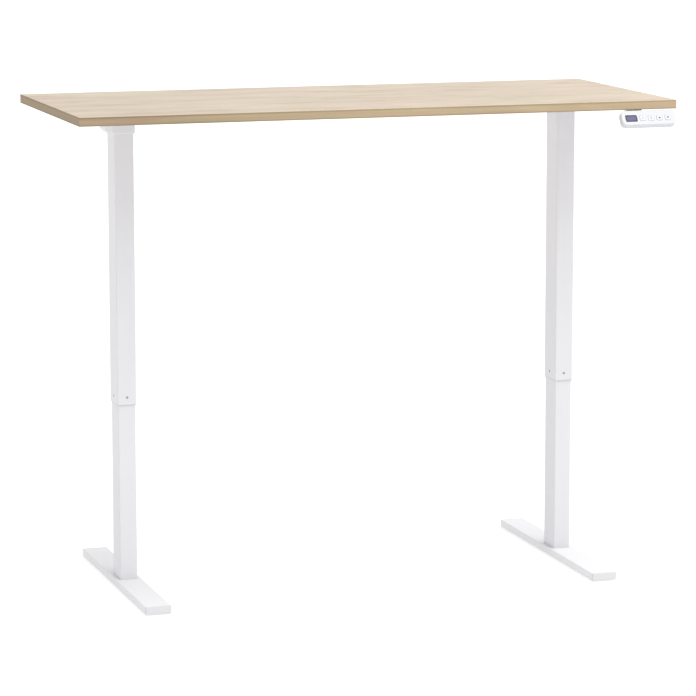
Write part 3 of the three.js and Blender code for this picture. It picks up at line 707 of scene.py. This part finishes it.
def make_arm(label, side):
    """A side arm, deep at the column and shallow at both ends."""
    low, high, middle = span(f"{label}_side_arm")
    shallow, deep, deep_half = 5.3 * MM, 20 * MM, 80 * MM
    half = (high.y - low.y) / 2
    stations = [(-half, shallow), (-deep_half, deep), (deep_half, deep), (half, shallow)]
    sections = loft([arm_section(y, depth) for y, depth in stations])
    arm = Shape().add(sections, move(middle.x, middle.y, high.z))
    inboard = middle.x - side * 29 * MM
    notch = Shape().add(soft_block(6 * MM, 46 * MM, 1 * MM, -deep - 1 * MM, -3.6 * MM, 0, 0),
                        move(inboard, middle.y, high.z))
    hole = Shape().add(soft_rod(3.4 * MM, -4 * MM, 4 * MM, 0, 0, 20),
                       move(inboard, middle.y + 120 * MM, high.z - 9 * MM) @ ALONG_X)
    piece(f"{label}_arm", combined(arm, [notch, hole]), WHITE_STEEL, "desk_top",
          [f"{label}_side_arm"])
    screws = Shape()
    for x in (-1, 1):
        for y in (-225, -120, 120, 225):
            screws.add(cross_screw(4.5 * MM, 1.8 * MM),
                       move(middle.x + x * 15 * MM, middle.y + y * MM, high.z - 3 * MM) @ DOWNWARD)
    piece(f"{label}_arm_screws", screws, ZINC, "desk_top")


def make_beam():
    for part, name, radius in (("outer", "beam_sleeve", 2.4), ("inner", "beam_slide", 2.0)):
        node = f"crossbeam_{part}"
        low, high, middle = span(node)
        size = high - low
        tube = rect_tube(size.z, size.y, radius * MM, BEAM_WALL, low.x, high.x, 0.3 * MM)
        place = move(0, middle.y, middle.z) @ ALONG_X
        piece(name, Shape().add(tube, place), WHITE_STEEL, "desk_top", [node])
    low, high, middle = span("crossbeam_outer")
    screws = Shape()
    for back in (20, 95):
        place = move(high.x - back * MM, middle.y, low.z) @ DOWNWARD
        screws.add(socket_screw(4.5 * MM, 2.2 * MM), place)
    piece("beam_clamp_screws", screws, ZINC, "desk_top")


def as_shape(mesh):
    """Turns a mesh back into a shape, and removes the mesh."""
    shape = Shape()
    shape.vertices = [vertex.co.copy() for vertex in mesh.vertices]
    shape.faces = [list(polygon.vertices) for polygon in mesh.polygons]
    bpy.data.meshes.remove(mesh)
    return shape


def make_motor_cover():
    """A collar round the top of the left column, joined to a round lobe over the motor."""
    low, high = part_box("motor_cover")
    column = span("left_upper_tube")[2]
    motor = span("drive_motor")[2]
    over_column = move(column.x, column.y)
    bottom = high.z - 42 * MM
    collar = soft_block(52 * MM, 80 * MM, 7 * MM, bottom, high.z, 2.5 * MM, 0.5 * MM, 8)
    lobe = soft_rod(23 * MM, column.y + 30 * MM, high.y, 3 * MM, 1.4 * MM, 48)
    bore = soft_block(45.6 * MM, 72.6 * MM, 3.8 * MM, low.z - 1 * MM, high.z - 6 * MM, 0, 0, 8)
    lobe = Shape().add(lobe, move(motor.x, 0, motor.z) @ ALONG_Y)
    joined = as_shape(combined(Shape().add(collar, over_column), [lobe], "UNION"))
    cover = combined(joined, [Shape().add(bore, over_column)])
    piece("drive_cover", cover, LIT_COVER_PLASTIC, "desk_top", ["motor_cover"], 32)


# ---------------------------------------------------------------- control box and leads
def make_control_box():
    low, high, middle = span("control_box_shell")
    size = high - low
    shell = Shape().add(soft_block(size.x, size.y, 5 * MM, low.z, high.z, 2.5 * MM, 0.2 * MM),
                        move(middle.x, middle.y))
    vent = soft_block(4 * MM, 46 * MM, 1.9 * MM, low.z - 1 * MM, low.z + 1.4 * MM, 0, 0)
    slots = [Shape().add(vent, move(middle.x + k * 11 * MM, middle.y)) for k in range(-4, 5)]
    inlet = span("power_inlet")[2]
    pocket = soft_block(27.6 * MM, 20.1 * MM, 0.8 * MM, high.y - 18.5 * MM, high.y + 1 * MM, 0, 0)
    slots.append(Shape().add(pocket, move(inlet.x, 0, inlet.z) @ ALONG_Y))
    piece("control_housing", combined(shell, slots), BLACK_PLASTIC, "desk_top",
          ["control_box_shell"])
    low, high, middle = span("control_box_lid")
    plate = soft_block(size.x, size.y, 5 * MM, low.z, high.z, 0.4 * MM)
    ears = soft_block(high.x - low.x, 24 * MM, 6 * MM, low.z, high.z - 0.05 * MM, 0.4 * MM)
    centre = move(middle.x, middle.y)
    lid = Shape().add(plate, centre).add(ears, centre)
    piece("control_lid", lid, BLACK_PLASTIC, "desk_top", ["control_box_lid"])
    screws = Shape()
    for x in (low.x + 7 * MM, high.x - 7 * MM):
        screws.add(cross_screw(3.8 * MM, 1.8 * MM), move(x, middle.y, low.z) @ DOWNWARD)
    piece("control_screws", screws, ZINC, "desk_top")
    make_inlet()


def make_inlet():
    """A mains inlet: a body, a flange and a recess with three pins."""
    low, high, middle = span("power_inlet")
    face = high.y
    flange_z = high.z - low.z
    flange_x = high.x - low.x
    recess = [(23.4, 15.9, 2.0, face), (22.8, 15.3, 1.6, face - 11.8 * MM)]
    rings = [rounded_ring(26.8 * MM, 19.3 * MM, 0.8 * MM, low.y),
             rounded_ring(26.8 * MM, 19.3 * MM, 0.8 * MM, face - 1.6 * MM),
             rounded_ring(flange_x, flange_z, 2.5 * MM, face - 1.6 * MM),
             rounded_ring(flange_x, flange_z, 2.5 * MM, face - 0.4 * MM),
             rounded_ring(flange_x - 0.8 * MM, flange_z - 0.8 * MM, 2.2 * MM, face)]
    rings += [rounded_ring(w * MM, h * MM, r * MM, y) for w, h, r, y in recess]
    socket = Shape().add(loft(rings), move(middle.x, 0, middle.z) @ ALONG_Y)
    piece("mains_socket", socket, BLACK_PLASTIC, "desk_top", ["power_inlet"])
    pins = Shape()
    ends = (face - 12 * MM, face - 3.5 * MM)
    pin = soft_block(2 * MM, 4 * MM, 0.6 * MM, *ends, 0.1 * MM, 0.6 * MM, 3)
    for x, z in ((-7, -1.5), (7, -1.5), (0, 2.5)):
        pins.add(pin, move(middle.x + x * MM, 0, middle.z + z * MM) @ ALONG_Y)
    piece("socket_pins", pins, BRASS, "desk_top")


def smooth_route(points, per_span=8):
    """Centripetal Catmull-Rom curve through the points."""
    points = [Vector(p) for p in points]
    ends = [2 * points[0] - points[1], *points, 2 * points[-1] - points[-2]]
    route = []
    for i in range(1, len(ends) - 2):
        p0, p1, p2, p3 = ends[i - 1:i + 3]
        t0 = 0.0
        t1 = t0 + (p1 - p0).length ** 0.5
        t2 = t1 + (p2 - p1).length ** 0.5
        t3 = t2 + (p3 - p2).length ** 0.5
        for k in range(per_span):
            t = t1 + (t2 - t1) * k / per_span
            a1 = p0 * ((t1 - t) / (t1 - t0)) + p1 * ((t - t0) / (t1 - t0))
            a2 = p1 * ((t2 - t) / (t2 - t1)) + p2 * ((t - t1) / (t2 - t1))
            a3 = p2 * ((t3 - t) / (t3 - t2)) + p3 * ((t - t2) / (t3 - t2))
            b1 = a1 * ((t2 - t) / (t2 - t0)) + a2 * ((t - t0) / (t2 - t0))
            b2 = a2 * ((t3 - t) / (t3 - t1)) + a3 * ((t - t1) / (t3 - t1))
            route.append(b1 * ((t2 - t) / (t2 - t1)) + b2 * ((t - t1) / (t2 - t1)))
    route.append(points[-1])
    return route


def round_lead(route, radius, count=12):
    """A round tube along a route, with its section carried along without twist."""
    rings = []
    normal = None
    for i, point in enumerate(route):
        ahead = route[min(i + 1, len(route) - 1)] - route[max(i - 1, 0)]
        tangent = ahead.normalized()
        if normal is None:
            normal = tangent.cross(Vector((0, 0, 1))).normalized()
        normal = (normal - tangent * normal.dot(tangent)).normalized()
        other = tangent.cross(normal)
        rings.append([point + radius * (math.cos(a) * normal + math.sin(a) * other)
                      for a in (2 * math.pi * k / count for k in range(count))])
    return loft(rings)


def make_leads():
    """Both leads, in millimetres from the middle of the board's underside, and their clips."""
    board = span("desktop_board")
    under = board[0].z
    shift = board[2].y
    motor = -539.0
    hand = 603.0
    level = -2.7
    motor_route = [
        (motor, 97, -20), (motor, 106, -18), (-532, 117, -11), (-518, 120, -9), (-494, 120, -9),
        (-476, 120, -6.5), (-458, 121, level), (-420, 124, level), (-300, 130, level),
        (-160, 135, level), (-138, 135, -5), (-122, 135, -10), (-110, 135, -11), (-99, 135, -11)]
    hand_route = [
        (hand, -299.6, -19.3), (hand, -295.4, -22.1), (hand, -288, -23.5), (hand - 1, -279, -18),
        (hand - 3, -270, -8.5), (hand - 8, -262, -3.8), (hand - 20, -257.5, level),
        (hand - 70, -257, level), (hand - 111, -256, level), (hand - 123, -250, level),
        (478, -236, level), (476, -120, level), (476, 0, level), (476, 100, level),
        (470, 120, level), (452, 128, level), (320, 133, level), (160, 135, level),
        (138, 135, -5), (122, 135, -10), (110, 135, -11), (99, 135, -11)]
    for name, points in (("motor", motor_route), ("handset", hand_route)):
        route = smooth_route([(x * MM, y * MM + shift, under + z * MM) for x, y, z in points])
        lead = Shape().add(round_lead(route, LEAD_RADIUS))
        piece(f"{name}_cable", lead, LEAD_SHEATH, "desk_top", [f"{name}_lead"])
    clips = Shape()
    base = soft_block(9 * MM, 16 * MM, 1.5 * MM, -0.55 * MM, 0, 0.1 * MM)
    bridge = soft_block(7 * MM, 6.4 * MM, 1.4 * MM, -5.6 * MM, -0.4 * MM, 1.2 * MM, 0.1 * MM)
    places = [(-400, 125.5, 0), (-220, 133, 0), (476, -180, 90), (476, -60, 90), (476, 70, 90),
              (380, 131, 0), (220, 134.3, 0)]
    for x, y, turn in places:
        spot = move(x * MM, y * MM + shift, under) @ Matrix.Rotation(math.radians(turn), 4, "Z")
        clips.add(base, spot).add(bridge, spot)
    piece("lead_clips", clips, WHITE_PLASTIC, "desk_top")


# ---------------------------------------------------------------- handset
def handset_matrix():
    """The place of the face's top edge: x to the right, y up along the face, z out of it."""
    low, high, middle = span("handset_front")
    origin = Vector((middle.x, low.y + HAND_HEIGHT * math.sin(TILT), high.z))
    return Matrix.Translation(origin) @ Matrix.Rotation(math.pi / 2 - TILT, 4, "X")


def triangle(size, up, z0, z1):
    """A flat triangle that points up or down the face."""
    sign = 1 if up else -1
    corners = [(-size, -0.62 * size * sign), (size, -0.62 * size * sign), (0, 0.85 * size * sign)]
    return loft([[(x, y, z) for x, y in corners] for z in (z0, z1)])


def digit_mesh(text, size):
    """A numeral as flat raised strokes."""
    curve = bpy.data.curves.new("mark", "FONT")
    curve.body = text
    curve.size = size
    curve.extrude = 0.02 * MM
    curve.align_x = "CENTER"
    curve.align_y = "CENTER"
    holder = bpy.data.objects.new("mark", curve)
    bpy.context.scene.collection.objects.link(holder)
    bpy.context.view_layer.update()
    mesh = bpy.data.meshes.new_from_object(holder)
    bpy.data.objects.remove(holder)
    bpy.data.curves.remove(curve)
    return mesh


def across_face(place, node):
    """How far to the right of the handset's middle a CAD node lies."""
    return (place.inverted() @ span(node)[2]).x


def make_handset():
    place = handset_matrix()
    middle = place @ move(0, -HAND_HEIGHT / 2, 0)
    size = (HAND_WIDTH, HAND_HEIGHT, HAND_RADIUS)
    display = place @ move(across_face(place, "handset_display"), KEY_ROW, 0)
    spots = {key: place @ move(across_face(place, f"{key}_button"), KEY_ROW, 0) for key in KEYS}
    front = Shape().add(soft_block(*size, -5.5 * MM, 0, 0.25 * MM, 1.7 * MM, 10), middle)
    window = soft_block(29 * MM, 17.5 * MM, 3.2 * MM, -1.3 * MM, 1 * MM, 0, 0)
    well = soft_block(14.6 * MM, 13.6 * MM, 3.3 * MM, -4.6 * MM, 1 * MM, 0, 0)
    cutters = [Shape().add(window, display)]
    cutters += [Shape().add(well, spots[key]) for key in KEYS]
    piece("handset_face", combined(front, cutters), HANDSET_PLASTIC, "desk_top",
          ["handset_front"], 32)
    make_handset_rear(place.translation, middle, size)
    glass = soft_block(28.5 * MM, 17 * MM, 3 * MM, -1.2 * MM, -0.25 * MM, 0.1 * MM, 0.2 * MM)
    piece("display_frame", Shape().add(glass, display), LENS_BLACK, "desk_top",
          ["handset_display"])
    screen = soft_block(22.6 * MM, 11 * MM, 1.4 * MM, -0.4 * MM, -0.2 * MM, 0.02 * MM, 0.04 * MM)
    piece("display_screen", Shape().add(screen, display), LENS_VIOLET, "desk_top")
    for key in KEYS:
        make_key(key, spots[key])


def make_handset_rear(origin, middle, size):
    back = Shape().add(soft_block(*size, -17 * MM, -5.8 * MM, 1.6 * MM, 0.25 * MM, 10), middle)
    outline = [(7, -6.4), (14, 0.6), (37.8, 0.6), (37.8, -2.2), (24, -2.3), (16, -12.5), (11, -9.5)]
    sides = [[(x * MM, y * MM, z * MM) for y, z in outline] for x in (-45, -8)]
    tab = Shape().add(loft(sides), Matrix.Translation(origin))
    piece("handset_rear", combined(back, [tab], "UNION"), SHADED_REAR_PLASTIC, "desk_top",
          ["handset_back"], 32)
    screws = Shape()
    for x in (-39, -14):
        spot = origin + Vector((x, 31, -2.2)) * MM
        screws.add(cross_screw(3.4 * MM, 1.5 * MM), Matrix.Translation(spot) @ DOWNWARD)
    piece("handset_screws", screws, ZINC, "desk_top")


def make_key(key, spot):
    top = 0.9 * MM
    cap = soft_block(14 * MM, 13 * MM, 3 * MM, -3.4 * MM, top, 0.2 * MM, 0.9 * MM)
    piece(f"{key}_cap", Shape().add(cap, spot), BUTTON_PLASTIC, f"{key}_key",
          [f"{key}_button"])
    face = spot @ move(0, 0, top + 0.01 * MM)
    if key in ("up", "down"):
        mark = Shape().add(triangle(3.1 * MM, key == "up", -0.05 * MM, 0.02 * MM), face)
        mark = mark.mesh(f"{key}_mark")
    else:
        mark = digit_mesh(key[-1], 8.4 * MM)
        mark.transform(face)
    piece(f"{key}_mark", mark, MARK_INK, f"{key}_key")


# ---------------------------------------------------------------- pieces that keep their CAD shape
def finish_inner_nodes():
    finishes = {
        "handset_board": CIRCUIT_GREEN, "drive_motor": MOTOR_BLACK, "cross_shaft": GROUND_STEEL}
    for label in SIDES:
        finishes[f"{label}_gearbox"] = WHITE_STEEL
        finishes[f"{label}_bearing"] = ZINC
        finishes[f"{label}_spindle"] = GROUND_STEEL
        finishes[f"{label}_spindle_gear"] = GEAR_STEEL
        finishes[f"{label}_shaft_gear"] = GEAR_STEEL
        for node in ("upper_glide", "lower_glide", "spindle_nut"):
            finishes[f"{label}_{node}"] = NYLON
    for node, finish in finishes.items():
        mesh = NODES[node].data
        mesh.materials.clear()
        mesh.materials.append(finish)


place_camera()
make_floor()
make_light()
make_desktop()
for side_label, side_sign in zip(SIDES, (-1, 1)):
    make_column(side_label, f"{side_label}_leg")
    make_foot(side_label, f"{side_label}_leg")
    make_arm(side_label, side_sign)
make_beam()
make_motor_cover()
make_control_box()
make_leads()
make_handset()
finish_inner_nodes()
